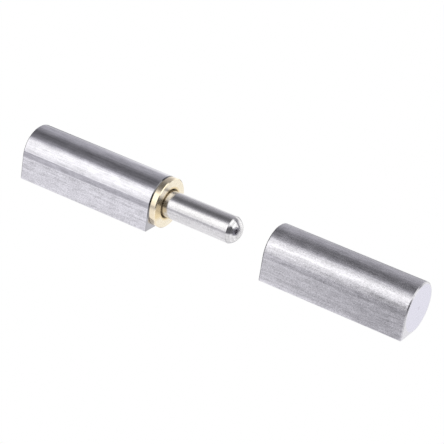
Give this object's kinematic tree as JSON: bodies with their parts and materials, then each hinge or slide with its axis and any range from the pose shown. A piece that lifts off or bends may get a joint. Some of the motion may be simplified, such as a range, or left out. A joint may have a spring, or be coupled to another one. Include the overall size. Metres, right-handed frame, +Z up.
{
  "type": "door hinge",
  "caption": "Weld-on lift-off door hinge: two drawn steel leaves with a square weld corner, a domed pin and a brass thrust washer.",
  "frame": {"origin": "on the pin's axis, half way along the hinge as it lies apart", "axes": "+X along the pin's axis from the pin leaf to the socket leaf; +Z up, with both leaves lying on one weld flat; the other weld flat faces -Y"},
  "size_m": [0.1106, 0.013, 0.013],
  "materials": {
    "male_leaf_steel": "bright drawn steel with fine lengthwise draw marks",
    "pin_steel": "ground and turned steel, near mirror",
    "washer_brass": "machined pale brass with turning rings",
    "female_leaf_steel": "drawn steel, slightly greyer and grainier than the other leaf, with a faced end"
  },
  "bodies": {
    "male": {"male_leaf": "male_leaf_steel", "pin": "pin_steel"},
    "washer": {"washer": "washer_brass"},
    "female": {"female_leaf": "female_leaf_steel"}
  },
  "joints": [
    {"name": "swing", "type": "hinge", "parent": "male", "child": "washer", "pos_m": [-0.01635, 0, 0], "axis": [1, 0, 0], "continuous": true},
    {"name": "lift_off", "type": "slide", "parent": "washer", "child": "female", "axis": [1, 0, 0], "range_m": [-0.0309, 0.02]}
  ]
}
